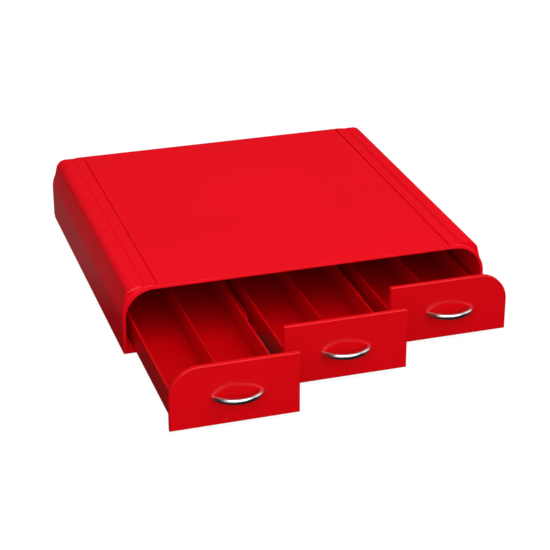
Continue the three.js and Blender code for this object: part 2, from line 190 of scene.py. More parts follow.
off_gap = calculate(
    tree, "ABSOLUTE",
    calculate(tree, "SUBTRACT", calculate(tree, "ABSOLUTE", at.outputs["X"]), GAP_X),
)
left_start, right_start = (
    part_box(name + "_drawer_front")[0].y + GAP_START for name in ("left", "middle")
)
starts = ramp(tree, at.outputs["X"], -GAP_X, GAP_X, left_start, right_start)
between = calculate(
    tree, "MULTIPLY",
    calculate(tree, "LESS_THAN", off_gap, GAP_HALF),
    calculate(tree, "GREATER_THAN", at.outputs["Y"], starts),
)
around = add_node(tree, "AmbientOcclusion", Distance=WALLS_NEAR)
shade = calculate(tree, "MULTIPLY", between, ramp(tree, around.outputs["AO"], SHUT_IN, OPEN, 1, 0))
lit = ramp(tree, shade, 0, 1, SEEN_WHITE, SEEN_DARK)
glow = add_node(tree, "Emission", Color=WHITE)
tree.links.new(lit, glow.inputs["Strength"])
paper = add_node(tree, "BsdfDiffuse", Color=(0.12, 0.12, 0.12, 1))
pale = add_node(tree, "AddShader")
tree.links.new(glow.outputs[0], pale.inputs[0])
tree.links.new(paper.outputs[0], pale.inputs[1])
# Painted reflection: mirror rays see the floor glow lighter in a strip by the back of the left
# wall, which puts a sheen on that wall.
behind = ramp(tree, at.outputs["Y"], SHEEN_FRONT, SHEEN_BACK, 0, 1)
beside = ramp(tree, at.outputs["X"], SHEEN_LEFT, SHEEN_RIGHT, 0, 1)
sheen = ramp(
    tree, calculate(tree, "MULTIPLY", behind, beside), 0, 1, MIRRORED_DARK, MIRRORED_SHEEN
)
mirror_glow = add_node(tree, "Emission", Color=WHITE)
tree.links.new(sheen, mirror_glow.inputs["Strength"])
table = add_node(tree, "BsdfDiffuse", Color=(0.15, 0.15, 0.15, 1))
by_ray(tree, pale, mirror_glow, table, add_node(tree, "OutputMaterial"))
floor.data.materials.append(floor_paint)
print("floor", FLOOR_SIZE, "m wide")

# %% [markdown]
# The world does the same as the floor. It is white behind the floor and nearly black in a mirror,
# and it gives everything an even, shadowless light, as a cloth tent around the table would.

# %% Light the world
world = bpy.data.worlds.new("studio")
bpy.context.scene.world = world
tree = new_tree(world)
white = add_node(tree, "Background", Color=WHITE, Strength=1)
mirror_glow = add_node(tree, "Background", Color=WHITE, Strength=0.02)
tent = add_node(tree, "Background", Color=WHITE, Strength=0.54)
by_ray(tree, white, mirror_glow, tent, add_node(tree, "OutputWorld"))
print("world:", world.name)

# %% [markdown]
# Three soft lamps do the lighting. The key stands high in front, a little to the right, and is
# large, so the shadow under a pull is soft and its chrome gets a broad bright band. The card on
# the right carries that band on to the pull's right end. The fill stands close by, low in front
# and to the left, and lights the nearest drawer front a little more than the rest.
# A sun lamp would light as evenly, but its small disc would leave hard shadows and a thin glint.

# %% Hang the lamps
LAMP_AIM = Vector((0, 0, 0.03))
LAMPS = {
    "key": {"way": (0.10, -0.62, 0.78), "far": 3.0, "size": 4.6, "light": 3.2},
    "card": {"way": (0.90, 0.05, 0.43), "far": 3.0, "size": 3.2, "light": 0.85},
    "fill": {"way": (-0.45, -0.85, 0.28), "far": 0.9, "size": 0.7, "light": 0.30},
}
for name, lamp in LAMPS.items():
    way = Vector(lamp["way"]).normalized()
    bpy.ops.object.light_add(type="AREA", location=LAMP_AIM + way * lamp["far"])
    light = bpy.context.object
    light.name = name + "_lamp"
    light.rotation_euler = way.to_track_quat("Z", "Y").to_euler()
    light.data.shape = "DISK"
    light.data.size = lamp["size"]
    light.data.energy = lamp["light"] * math.pi * lamp["far"] ** 2
    print(light.name, round(light.data.energy), "W")

# %% [markdown]
# ## The plastics
# Moulded plastic is one colour all through, but it is never perfectly even: the pigment flows in
# faint clouds, the polish varies, and the skin has a very fine orange peel. Each of these is one
# noise texture on Object coordinates. The alternative, an image texture, would need a file.

# %% Make the red plastics
def plastic(name, colour, shine, roughness, scuffs, cloud_scale, peel_scale, peel_height):
    """A moulded plastic: pigment clouds, an uneven polish with fine scuffs, an orange peel."""
    material = bpy.data.materials.new(name)
    tree = new_tree(material)
    join = tree.links.new
    place = add_node(tree, "TexCoord").outputs["Object"]
    out = add_node(tree, "OutputMaterial")
    skin = add_node(tree, "BsdfPrincipled", IOR=1.5, Specular_IOR_Level=shine)
    join(skin.outputs[0], out.inputs["Surface"])

    clouds = add_node(tree, "TexNoise", Scale=cloud_scale, Detail=3)
    join(place, clouds.inputs["Vector"])
    tint = add_node(tree, "ValToRGB")
    tint.color_ramp.elements[0].position = 0.3
    tint.color_ramp.elements[1].position = 0.7
    tint.color_ramp.elements[0].color = (*(0.965 * part for part in colour), 1)
    tint.color_ramp.elements[1].color = (*(min(1, 1.02 * part) for part in colour), 1)
    join(clouds.outputs[0], tint.inputs[0])
    join(tint.outputs[0], skin.inputs["Base Color"])

    stretch = add_node(tree, "Mapping", Scale=(40, 900, 900), Rotation=(0, 0, 0.4))
    join(place, stretch.inputs["Vector"])
    hairlines = add_node(tree, "TexNoise", Scale=1, Detail=2)
    join(stretch.outputs[0], hairlines.inputs["Vector"])
    low, high = roughness - scuffs / 2, roughness + scuffs
    join(ramp(tree, hairlines.outputs[0], 0.35, 0.75, low, high), skin.inputs["Roughness"])

    peel = add_node(tree, "TexNoise", Scale=peel_scale, Detail=2, Roughness=0.4)
    join(place, peel.inputs["Vector"])
    bump = add_node(tree, "Bump", Strength=0.5, Distance=peel_height)
    join(peel.outputs[0], bump.inputs["Height"])
    join(bump.outputs[0], skin.inputs["Normal"])
    return material


casing_red = plastic(
    "casing_red_satin", (0.79, 0.0006, 0.0085), shine=0.18, roughness=0.28, scuffs=0.012,
    cloud_scale=9, peel_scale=900, peel_height=0.04 * MM,
)
drawer_red = plastic(
    "drawer_red_gloss", (0.74, 0.0004, 0.0045), shine=0.4, roughness=0.22, scuffs=0.02,
    cloud_scale=12, peel_scale=500, peel_height=0.02 * MM,
)
tray_red = plastic(
    "tray_red_satin", (0.59, 0.0004, 0.0030), shine=0.5, roughness=0.25, scuffs=0.015,
    cloud_scale=12, peel_scale=700, peel_height=0.03 * MM,
)
print("plastics:", casing_red.name, drawer_red.name, tray_red.name)

# %% [markdown]
# ## Metal and rubber
# The pulls are chromed and softly polished, so their roughness is low with faint wipe marks. The
# screws are zinc plated, so their roughness is cloudy. Rubber is dark, matt and slightly grainy.

# %% Make the metals and the rubber
def fine_surface(name, colour, metallic, smooth, rough, scale, height):
    """A finish whose polish runs from smooth to rough in patches, over a fine grain."""
    material = bpy.data.materials.new(name)
    tree = new_tree(material)
    join = tree.links.new
    place = add_node(tree, "TexCoord").outputs["Object"]
    out = add_node(tree, "OutputMaterial")
    skin = add_node(tree, "BsdfPrincipled", Metallic=metallic)
    join(skin.outputs[0], out.inputs["Surface"])
    patches = add_node(tree, "TexNoise", Scale=scale, Detail=4)
    join(place, patches.inputs["Vector"])
    join(ramp(tree, patches.outputs[0], 0, 1, smooth, rough), skin.inputs["Roughness"])
    tint = add_node(tree, "ValToRGB")
    tint.color_ramp.elements[0].color = (*(0.93 * part for part in colour), 1)
    tint.color_ramp.elements[1].color = (*colour, 1)
    join(patches.outputs[0], tint.inputs[0])
    join(tint.outputs[0], skin.inputs["Base Color"])
    grain = add_node(tree, "TexNoise", Scale=scale * 12, Detail=2)
    join(place, grain.inputs["Vector"])
    bump = add_node(tree, "Bump", Strength=0.4, Distance=height)
    join(grain.outputs[0], bump.inputs["Height"])
    join(bump.outputs[0], skin.inputs["Normal"])
    return material


chrome = fine_surface(
    "chrome_plate", (0.86, 0.83, 0.85), metallic=1, smooth=0.2, rough=0.28,
    scale=150, height=0.002 * MM,
)
zinc = fine_surface(
    "zinc_plate", (0.62, 0.62, 0.60), metallic=1, smooth=0.25, rough=0.45,
    scale=700, height=0.01 * MM,
)
rubber = fine_surface(
    "black_rubber", (0.022, 0.022, 0.024), metallic=0, smooth=0.65, rough=0.9,
    scale=300, height=0.05 * MM,
)
print("finishes:", chrome.name, zinc.name, rubber.name)

# %% [markdown]
# ## Modelling helpers
# Every piece is shaped as by hand: start from a primitive, pick some edges or faces, and run an
# operator on them. With no mouse to click, picking is done by a rule on where an edge or face
# lies and which way it runs or looks. An operator acts on all that is selected, so everything is
# deselected first.

# %% Helpers for picking and shaping
def work_on(piece=None):
    """Back to object mode with nothing selected, except the piece that is worked on."""
    if bpy.context.object and bpy.context.object.mode != "OBJECT":
        bpy.ops.object.mode_set(mode="OBJECT")
    bpy.ops.object.select_all(action="DESELECT")
    if piece:
        piece.select_set(True)
        bpy.context.view_layer.objects.active = piece


def pick(piece, kind, rule):
    """In edit mode, select the "VERT", "EDGE" or "FACE" parts for which rule(middle, way) is
    true. The way is an edge's direction, or the normal of a face or a corner."""
    if bpy.context.object != piece or piece.mode != "EDIT":
        work_on(piece)
        bpy.ops.object.mode_set(mode="EDIT")
    bpy.ops.mesh.select_mode(type=kind)
    bpy.ops.mesh.select_all(action="DESELECT")
    mesh = bmesh.from_edit_mesh(piece.data)
    mesh.normal_update()
    count = 0
    for part in {"VERT": mesh.verts, "EDGE": mesh.edges, "FACE": mesh.faces}[kind]:
        if kind == "FACE":
            middle, way = part.calc_center_median(), part.normal
        elif kind == "EDGE":
            ends = [end.co for end in part.verts]
            middle, way = (ends[0] + ends[1]) / 2, (ends[1] - ends[0]).normalized()
        else:
            middle, way = part.co, part.normal
        if rule(middle, way):
            part.select_set(True)
            count += 1
    mesh.select_flush_mode()
    bmesh.update_edit_mesh(piece.data)
    return count


def near(a, b, slack=0.02 * MM):
    """True for two lengths that are the same but for rounding errors."""
    return abs(a - b) < slack


def above(at, height):
    """True for a place that is more than a millimetre above a height."""
    return at.z > height + 1 * MM


def block(name, low, high):
    """A cube from one corner to the other."""
    low, high = Vector(low), Vector(high)
    work_on()
    bpy.ops.mesh.primitive_cube_add(size=1, location=(low + high) / 2, scale=high - low)
    bpy.ops.object.transform_apply(location=True, rotation=False, scale=True)
    bpy.context.object.name = name
    return bpy.context.object


def upright_rod(name, radius, low_z, high_z, sides=32):
    """A cylinder along Z over the origin."""
    work_on()
    bpy.ops.mesh.primitive_cylinder_add(
        vertices=sides, radius=radius, depth=high_z - low_z,
        location=(0, 0, (low_z + high_z) / 2),
    )
    bpy.ops.object.transform_apply(location=True, rotation=False, scale=False)
    bpy.context.object.name = name
    return bpy.context.object


def round_edges(piece, radius, segments, rule):
    """Round the edges that the rule picks."""
    if pick(piece, "EDGE", rule):
        bpy.ops.mesh.bevel(offset=radius, segments=segments, affect="EDGES", clamp_overlap=False)


def combine(piece, tool, how):
    """Add a tool shape to a piece ("UNION") or cut it out ("DIFFERENCE"), and drop the tool."""
    work_on(piece)
    bpy.ops.object.modifier_add(type="BOOLEAN")
    modifier = piece.modifiers[-1]
    modifier.operation = how
    modifier.solver = "EXACT"
    modifier.object = tool
    bpy.ops.object.modifier_apply(modifier=modifier.name)
    bpy.data.objects.remove(tool)


print("shaping helpers ready")

# %% [markdown]
# Copies get a mesh of their own, and a finished piece is shaded, painted and tied to its body in
# the same way each time. Smooth shading stops at edges sharper than 35 degrees, and the weighted
# normals keep large flat faces flat where they meet a rounded edge.

# %% Helpers for copying and finishing
SHARP = math.radians(35)


def put(piece, move, turn=(0, 0, 0)):
    """Turn a piece about the origin and then move it."""
    work_on(piece)
    piece.rotation_euler = turn
    piece.location = move
    bpy.ops.object.transform_apply(location=True, rotation=True, scale=False)
    return piece


def copy_piece(piece, name, move=(0, 0, 0)):
    """A copy with its own mesh, moved."""
    work_on(piece)
    bpy.ops.object.duplicate(linked=False)
    copy = bpy.context.object
    copy.name = name
    return put(copy, move)


def finish_piece(piece, material, slot, body, *nodes):
    """Shade a piece, paint it, tie it to its body and hide the working nodes it stands for."""
    work_on(piece)
    bpy.ops.object.shade_smooth_by_angle(angle=SHARP)
    bpy.ops.object.modifier_add(type="WEIGHTED_NORMAL")
    piece.modifiers[-1].keep_sharp = True
    bpy.ops.object.modifier_apply(modifier=piece.modifiers[-1].name)
    piece.data.materials.clear()
    piece.data.materials.append(material)
    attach(piece, body)
    if nodes:
        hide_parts(*nodes)
    size = [round(length / MM, 1) for length in piece.dimensions]
    print(piece.name, size, "mm,", len(piece.data.polygons), "faces")


def finish_for_drawers(piece, kind, material, slot):
    """Finish the left drawer's piece and give the other two drawers copies of it."""
    finish_piece(piece, material, slot, "left_drawer", "left_" + kind)
    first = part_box("left_" + kind)[0]
    for name in DRAWERS[1:]:
        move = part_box(f"{name}_{kind}")[0] - first
        copy = copy_piece(piece, piece.name.replace("left", name), move)
        finish_piece(copy, material, slot, name + "_drawer", f"{name}_{kind}")


print("finishing helpers ready")

# %% [markdown]
# ## The casing
# The casing is one moulding: an inverted U with large round shoulders. It could be a bent sheet
# with thickness, but the rails on its shoulders make it thicker there. So the solid outside is
# built first, with rails and all, and the inside is then cut out of it in one go. The bead, the
# inside and the back panel are arches too, so a helper makes one.

# %% Build the outside of the casing
BEAD_PROUD = 0.3 * MM
ARCH_STEPS = 20
LIP_R, BACK_LIP_R = 0.4 * MM, 3.2 * MM


def arch(name, half, front, back, low, top, radius):
    """A long block whose two upper long edges are rounded."""
    shape = block(name, (-half, front, low), (half, back, top))
    round_edges(shape, radius, ARCH_STEPS, lambda at, way: abs(way.y) > 0.9 and near(at.z, top))
    return shape


lip_y = FRONT_Y + BEAD_PROUD
casing = arch("casing_moulding", HALF_WIDTH, lip_y, BACK_Y, FLOOR_Z, TOP_Z, SHOULDER_R)
round_edges(casing, LIP_R, 3, lambda at, way: near(at.y, lip_y) and above(at, FLOOR_Z))
round_edges(casing, BACK_LIP_R, 4, lambda at, way: near(at.y, BACK_Y) and above(at, FLOOR_Z))
work_on(casing)
print("outside:", len(casing.data.polygons), "faces")

# %% [markdown]
# A rail squares off each shoulder. From the middle outwards it has a narrow groove, a raised
# strip, a finer groove, a second strip a little higher, a well rounded edge, and an outer face
# that leans in and runs smoothly into the shoulder. It is a block whose upper outer edge is
# pulled in before it is rounded. Once it is joined on, a flat cut lowers the inner strip and two
# narrow ones make the grooves; strips made by extruding would spoil the rounded end. It stops a
# little short of the casing's front and back.

# %% Add the two shoulder rails
RAIL_INNER, RAIL_STEP = 133.4 * MM, 144.3 * MM
RAIL_SETBACK = 4.5 * MM
RAIL_EDGE_R, RAIL_END_R = 7 * MM, 1.2 * MM
INNER_RISE = 0.3 * MM
GROOVE_WIDE, GROOVE_DEEP = 1.2 * MM, 1.1 * MM
FINE_WIDE, FINE_DEEP = 0.6 * MM, 0.4 * MM
LEAN_IN = math.radians(14)

low_x = HALF_WIDTH - SHOULDER_R + SHOULDER_R * math.cos(LEAN_IN)
rail_low = TOP_Z - SHOULDER_R + SHOULDER_R * math.sin(LEAN_IN)
rail_top = TOP_Z + RAIL_RISE
top_x = low_x - (rail_top - rail_low) * math.tan(LEAN_IN)
rail_front, rail_back = FRONT_Y + RAIL_SETBACK, BACK_Y - RAIL_SETBACK


def span(side, near_x, far_x):
    """The lower and the higher of two distances from the middle, on one side."""
    return sorted((side * near_x, side * far_x))


for side in (-1, 1):
    left_x, right_x = span(side, RAIL_INNER, low_x)
    rail = block("rail", (left_x, rail_front, rail_low), (right_x, rail_back, rail_top))
    pick(rail, "VERT", lambda at, way: near(abs(at.x), low_x) and near(at.z, rail_top))
    bpy.ops.transform.translate(value=(side * (top_x - low_x), 0, 0))
    round_edges(
        rail, RAIL_EDGE_R, 9,
        lambda at, way: near(abs(at.x), top_x) and near(at.z, rail_top),
    )
    round_edges(
        rail, RAIL_END_R, 4,
        lambda at, way: near(at.y, rail_back) and above(at, rail_low)
        and abs(at.x) > RAIL_INNER + RAIL_END_R,
    )
    combine(casing, rail, "UNION")
    for inner, outer, cut_z in (
        (RAIL_INNER - GROOVE_WIDE, RAIL_STEP, TOP_Z + INNER_RISE),
        (RAIL_INNER - GROOVE_WIDE, RAIL_INNER, TOP_Z - GROOVE_DEEP),
        (RAIL_STEP - FINE_WIDE, RAIL_STEP, TOP_Z + INNER_RISE - FINE_DEEP),
    ):
        left_x, right_x = span(side, inner, outer)
        cutter = block(
            "cutter", (left_x, rail_front, cut_z),
            (right_x, BACK_Y + RAIL_SETBACK, rail_top + RAIL_RISE),
        )
        combine(casing, cutter, "DIFFERENCE")
print("with rails:", len(casing.data.polygons), "faces")

# %% [markdown]
# A thin bead runs round the opening, just proud of the front. It is a second, slightly smaller
# arch joined to the front. Cutting the inside through everything then leaves an even wall, and
# the bead's sharp corners are rounded last.

# %% Add the bead and cut out the inside
INNER_HALF = HALF_WIDTH - SIDE_WALL
INNER_TOP = TOP_Z - TOP_WALL
INNER_R = SHOULDER_R - SIDE_WALL
BEAD_WIDE, BEAD_DEEP = 1.4 * MM, 2 * MM
FINE_R, INNER_EDGE_R = 0.3 * MM, 0.35 * MM
WELL_PAST = 5 * MM
FLAT_SLACK, ARC_SLACK = 0.1 * MM, 0.15 * MM

bead = arch(
    "bead", INNER_HALF + BEAD_WIDE, FRONT_Y, FRONT_Y + BEAD_DEEP, FLOOR_Z,
    INNER_TOP + BEAD_WIDE, INNER_R + BEAD_WIDE,
)
round_edges(bead, FINE_R, 2, lambda at, way: near(at.y, FRONT_Y) and above(at, FLOOR_Z))
combine(casing, bead, "UNION")
inside = arch(
    "inside", INNER_HALF, FRONT_Y - WELL_PAST, BACK_Y + WELL_PAST, FLOOR_Z - WELL_PAST,
    INNER_TOP, INNER_R,
)
combine(casing, inside, "DIFFERENCE")


def on_inner_outline(at):
    """True on the surface of the casing's inside, give or take the facets of its corners."""
    across = abs(at.x) - (INNER_HALF - INNER_R)
    up = at.z - (INNER_TOP - INNER_R)
    if across < 0 or up < 0:
        return near(at.z, INNER_TOP, FLAT_SLACK) or near(abs(at.x), INNER_HALF, FLAT_SLACK)
    return near(math.hypot(across, up), INNER_R, ARC_SLACK)


round_edges(
    casing, INNER_EDGE_R, 2,
    lambda at, way: near(at.y, FRONT_Y) and on_inner_outline(at) and above(at, FLOOR_Z),
)
print("hollow:", len(casing.data.polygons), "faces")

# %% [markdown]
# Two things are left on the casing: a flange along the foot of each wall, which takes the base
# screws and guides the outer trays, and at the back the openings of the hollow rails, which two
# plugs close. A plug's own shape, a hair larger, cuts its opening.

# %% Add the flanges and the plug openings
FLANGE_FRONT = FRONT_Y + 5.2 * MM
FLANGE_IN, FLANGE_HIGH, FLANGE_R = 5.8 * MM, 3.2 * MM, 0.6 * MM
FIT, TOUCHING = 0.3 * MM, 0.001 * MM

for side in (-1, 1):
    low_x, high_x = span(side, INNER_HALF - FLANGE_IN, INNER_HALF + SIDE_WALL / 2)
    flange = block(
        "flange", (low_x, FLANGE_FRONT, FLOOR_Z), (high_x, BACK_Y, FLOOR_Z + FLANGE_HIGH)
    )
    round_edges(
        flange, FLANGE_R, 3,
        lambda at, way: near(abs(at.x), INNER_HALF - FLANGE_IN) and above(at, FLOOR_Z),
    )
    combine(casing, flange, "UNION")

for side in ("left", "right"):
    plug_shape = copy_piece(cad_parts["rail_plug_" + side], "plug_shape")
    pick(plug_shape, "VERT", lambda at, way: True)
    bpy.ops.mesh.remove_doubles(threshold=TOUCHING)
    bpy.ops.transform.shrink_fatten(value=FIT)
    combine(casing, plug_shape, "DIFFERENCE")
finish_piece(casing, casing_red, "casing_plastic", "casing", "casing_shell")

# %% [markdown]
# ## Drawer fronts
# A drawer front is a shallow dish seen from behind: a thin skin with a rim along its top and
# sides. The outer two have one large round corner that follows the casing's shoulder. The blank
# is made too tall, hollowed from behind by inset and extrude, and then trimmed at the bottom by
# bisect, which leaves the dish open there. Two holes take the screws that hold the pull.

# %% Mould the three drawer fronts
FRONT_RIM, FRONT_SKIN = 1.8 * MM, 2.4 * MM
LARGE_CORNER, SMALL_CORNER = 25 * MM, 1 * MM
SPARE = 6 * MM
FRONT_EDGE_R = 0.7 * MM
PILOT_R = 1.3 * MM
OUT_OF_FRONT = (math.pi / 2, 0, 0)

for name in DRAWERS:
    low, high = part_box(name + "_drawer_front")
    thick = high.y - low.y
    front = block(name + "_front_moulding", low - Vector((0, 0, SPARE)), high)
    for x, outer in ((low.x, "left"), (high.x, "right")):
        radius, segments = (LARGE_CORNER, 16) if name == outer else (SMALL_CORNER, 3)
        round_edges(
            front, radius, segments,
            lambda at, way: abs(way.y) > 0.9 and near(at.z, high.z) and near(at.x, x),
        )
    pick(front, "FACE", lambda at, way: way.y > 0.9)
    bpy.ops.mesh.inset(thickness=FRONT_RIM)
    bpy.ops.mesh.extrude_region_move(
        TRANSFORM_OT_translate={"value": (0, FRONT_SKIN - thick, 0)}
    )
    pick(front, "FACE", lambda at, way: True)
    bpy.ops.mesh.bisect(
        plane_co=(0, 0, low.z), plane_no=(0, 0, 1), clear_inner=True, use_fill=True
    )
    round_edges(front, FRONT_EDGE_R, 3, lambda at, way: near(at.y, low.y))
    round_edges(front, FINE_R, 2, lambda at, way: near(at.y, high.y) and above(at, low.z))
    for mark in "ab":
        screw_low, screw_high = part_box(f"{name}_handle_screw_{mark}")
        spot = (screw_low + screw_high) / 2
        spot.y = low.y
        hole = put(upright_rod("hole", PILOT_R, -thick, thick), spot, OUT_OF_FRONT)
        combine(front, hole, "DIFFERENCE")
    finish_piece(front, drawer_red, "drawer_plastic", name + "_drawer", name + "_drawer_front")

# %% [markdown]
# ## Trays
# A tray is a low open box with a thin wall and a flat floor. One block does it: round its upright
# corners, inset the top face by the wall, and push the inner face down to the floor. Two pairs of
# small ribs inside hold the divider's ends. It is moulded once and copied for the other drawers.

# %% Mould the tray and copy it
TRAY_WALL, TRAY_FLOOR = 2 * MM, 1.8 * MM
TRAY_CORNER_R, TRAY_INSIDE_R = 3 * MM, 0.8 * MM
TRAY_RIM_R, TRAY_FOOT_R = 0.35 * MM, 0.6 * MM
RIB_THICK, RIB_REACH, RIB_DROP = 1.6 * MM, 3 * MM, 1.5 * MM
DIVIDER_HALF = 1 * MM

low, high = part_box("left_tray")
tray = block("left_tray_moulding", low, high)
round_edges(tray, TRAY_CORNER_R, 5, lambda at, way: abs(way.z) > 0.9)
pick(tray, "FACE", lambda at, way: way.z > 0.9)
bpy.ops.mesh.inset(thickness=TRAY_WALL)
bpy.ops.mesh.extrude_region_move(
    TRANSFORM_OT_translate={"value": (0, 0, low.z + TRAY_FLOOR - high.z)}
)
round_edges(tray, TRAY_INSIDE_R, 3, lambda at, way: near(at.z, low.z + TRAY_FLOOR))
round_edges(tray, TRAY_RIM_R, 2, lambda at, way: near(at.z, high.z))
round_edges(tray, TRAY_FOOT_R, 2, lambda at, way: near(at.z, low.z))

middle_x = (low.x + high.x) / 2
for end_y, inward in ((low.y, 1), (high.y, -1)):
    for side in (-1, 1):
        x_edges = sorted(
            middle_x + side * (DIVIDER_HALF + FIT + more) for more in (0, RIB_THICK)
        )
        y_edges = sorted(
            end_y + inward * more for more in (TRAY_WALL / 2, TRAY_WALL + RIB_REACH)
        )
        rib = block(
            "rib",
            (x_edges[0], y_edges[0], low.z + TRAY_FLOOR / 2),
            (x_edges[1], y_edges[1], high.z - RIB_DROP),
        )
        round_edges(rib, FINE_R, 2, lambda at, way: abs(at.y - end_y) > TRAY_WALL)
        combine(tray, rib, "UNION")
finish_for_drawers(tray, "tray", tray_red, "drawer_plastic")

# %% [markdown]
# ## Lane dividers
# A divider is a thin upright plate that drops between the ribs and splits a tray into two lanes.
# Its top edge is rounded for the fingers, and its foot is a little thicker so it stands straight.

# %% Make the dividers
DIVIDER_EDGE_R = 0.7 * MM
FOOT_HIGH, STEP_HIGH = 3 * MM, 2 * MM
THINNER = 0.82

low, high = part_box("left_lane_divider")
divider = block("left_divider_plate", low, high)
round_edges(
    divider, DIVIDER_EDGE_R, 3, lambda at, way: near(at.z, high.z) or abs(way.z) > 0.9
)
foot_z = low.z + FOOT_HIGH
for cut_z in (foot_z, foot_z + STEP_HIGH):
    pick(divider, "FACE", lambda at, way: True)
    bpy.ops.mesh.bisect(plane_co=(0, 0, cut_z), plane_no=(0, 0, 1))
pick(divider, "VERT", lambda at, way: at.z > foot_z + STEP_HIGH / 2)
bpy.ops.transform.resize(value=(THINNER, 1, 1), center_override=(low + high) / 2)
finish_for_drawers(divider, "lane_divider", tray_red, "drawer_plastic")

# %% [markdown]
# ## Bow pulls
# A pull is a chromed bar bent to an arc that bulges out of the drawer front, thick in the middle
# and thinner towards its ends. An oval ring is spun about the arc's centre, and each ring is then
# scaled about its own middle by how far round the arc it lies.

# %% Spin the bow
BOW_R, BOW_REACH = 22.8 * MM, 12.6 * MM
BAR_THICK, BAR_HIGH, BAR_END = 4.2 * MM, 5 * MM, 0.8
BOW_SUNK = 0.2 * MM
BOW_STEPS, RING_CORNERS = 40, 24

low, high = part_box("left_handle_bow")
face_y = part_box("left_drawer_front")[0].y
bow_z = (low.z + high.z) / 2
centre = Vector(((low.x + high.x) / 2, face_y + BOW_R - BOW_REACH, bow_z))
end_turn = math.asin((BOW_R - BOW_REACH - BOW_SUNK) / BOW_R)

work_on()
bpy.ops.mesh.primitive_circle_add(vertices=RING_CORNERS, radius=1, fill_type="NOTHING")
bow = bpy.context.object
bow.name = "left_pull_bow"
bow.scale = (BAR_THICK / 2, BAR_HIGH / 2, 1)
bow.rotation_euler = (math.pi / 2, 0, 0)
bpy.ops.object.transform_apply(location=False, rotation=True, scale=True)
start = Quaternion((0, 0, 1), end_turn)
bow.rotation_euler = start.to_euler()
bow.location = centre + start @ Vector((-BOW_R, 0, 0))
bpy.ops.object.transform_apply(location=True, rotation=True, scale=False)
pick(bow, "VERT", lambda at, way: True)
bpy.ops.mesh.spin(
    steps=BOW_STEPS, angle=math.pi - 2 * end_turn, center=centre, axis=(0, 0, -1)
)


def turn_of(at):
    """How far round the arc a point lies, from its left end."""
    return math.atan2(centre.y - at.y, centre.x - at.x) - end_turn


step = (math.pi - 2 * end_turn) / BOW_STEPS
print("first ring at", round(math.degrees(turn_of(bow.data.vertices[0].co)), 1), "degrees")
for ring in range(BOW_STEPS + 1):
    where = ring * step
    share = abs(ring / BOW_STEPS - 0.5) * 2
    size = 1 - (1 - BAR_END) * share ** 3
    middle = centre - BOW_R * Vector((
        math.cos(end_turn + where), math.sin(end_turn + where), 0,
    ))
    pick(bow, "VERT", lambda at, way: abs(turn_of(at) - where) < step / 4)
    bpy.ops.transform.resize(value=(size, size, size), center_override=middle)
print("bow spun in", BOW_STEPS, "steps")

# %% [markdown]
# The two ends of the bow are closed, and a short round foot is sunk into each, which takes a
# screw from behind. It is hardly thicker than the bar, so it hardly shows.

# %% Close the bow, give it feet and copy it
FOOT_X, FOOT_R = 19.5 * MM, 1.7 * MM
FOOT_DEEP, FOOT_END_R = 2.2 * MM, 0.8 * MM
PILOT_DEEP = 2.6 * MM
SEAM = 0.01 * MM

bpy.ops.mesh.select_all(action="SELECT")
bpy.ops.mesh.remove_doubles(threshold=SEAM)
bpy.ops.mesh.select_mode(type="EDGE")
bpy.ops.mesh.select_all(action="DESELECT")
bpy.ops.mesh.select_non_manifold()
bpy.ops.mesh.edge_face_add()
bpy.ops.mesh.select_all(action="SELECT")
bpy.ops.mesh.normals_make_consistent(inside=False)
work_on(bow)
for side in (-1, 1):
    spot = Vector((centre.x + side * FOOT_X, face_y - FIT, bow_z))
    button = upright_rod("button", FOOT_R, 0, FOOT_DEEP)
    round_edges(button, FOOT_END_R, 3, lambda at, way: near(at.z, FOOT_DEEP))
    combine(bow, put(button, spot, OUT_OF_FRONT), "UNION")
    hole = put(upright_rod("hole", PILOT_R, -PILOT_DEEP, PILOT_DEEP), spot, OUT_OF_FRONT)
    combine(bow, hole, "DIFFERENCE")
finish_for_drawers(bow, "handle_bow", chrome, "pull_chrome")

# %% [markdown]
# ## Screws
# All the screws are zinc-plated pan heads with a cross recess: large ones in two lengths
# underneath and small ones behind the drawer fronts. One is made from a cylinder: its head is
# drawn in to the shank by inset and extrude, its dome is a rounded edge, and two crossed wedges
# cut the recess. A copy is scaled to its own head, and its shank set to its own length by moving
# the tip.

# %% Make one screw and place its copies
SHANK_R = 1.4 * MM
TIP, TIP_SHARE = 0.8 * MM, 0.3
RECESS_LONG, RECESS_WIDE, RECESS_DEEP = 3.2 * MM, 0.75 * MM, 0.9 * MM
RECESS_TAPER = 0.6
PAST = 1 * MM

low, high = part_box("base_screw_1")
HEAD_R = (high.x - low.x) / 2
HEAD_HIGH, DOME_R = 1.4 * MM, 0.55 * MM

screw = upright_rod("screw", HEAD_R, 0, HEAD_HIGH)
pick(screw, "FACE", lambda at, way: way.z > 0.9)
bpy.ops.mesh.inset(thickness=HEAD_R - SHANK_R)
bpy.ops.mesh.extrude_region_move(TRANSFORM_OT_translate={"value": (0, 0, SHANK_R)})
bpy.ops.mesh.extrude_region_move(TRANSFORM_OT_translate={"value": (0, 0, TIP)})
bpy.ops.transform.resize(value=(TIP_SHARE, TIP_SHARE, 1), center_override=(0, 0, 0))
round_edges(screw, DOME_R, 4, lambda at, way: near(at.z, 0))
for wide, long in ((RECESS_WIDE, RECESS_LONG), (RECESS_LONG, RECESS_WIDE)):
    wedge = block("wedge", (-wide / 2, -long / 2, -PAST), (wide / 2, long / 2, RECESS_DEEP))
    pick(wedge, "FACE", lambda at, way: way.z > 0.9)
    bpy.ops.transform.resize(value=(RECESS_TAPER, RECESS_TAPER, 1), center_override=(0, 0, 0))
    combine(screw, wedge, "DIFFERENCE")


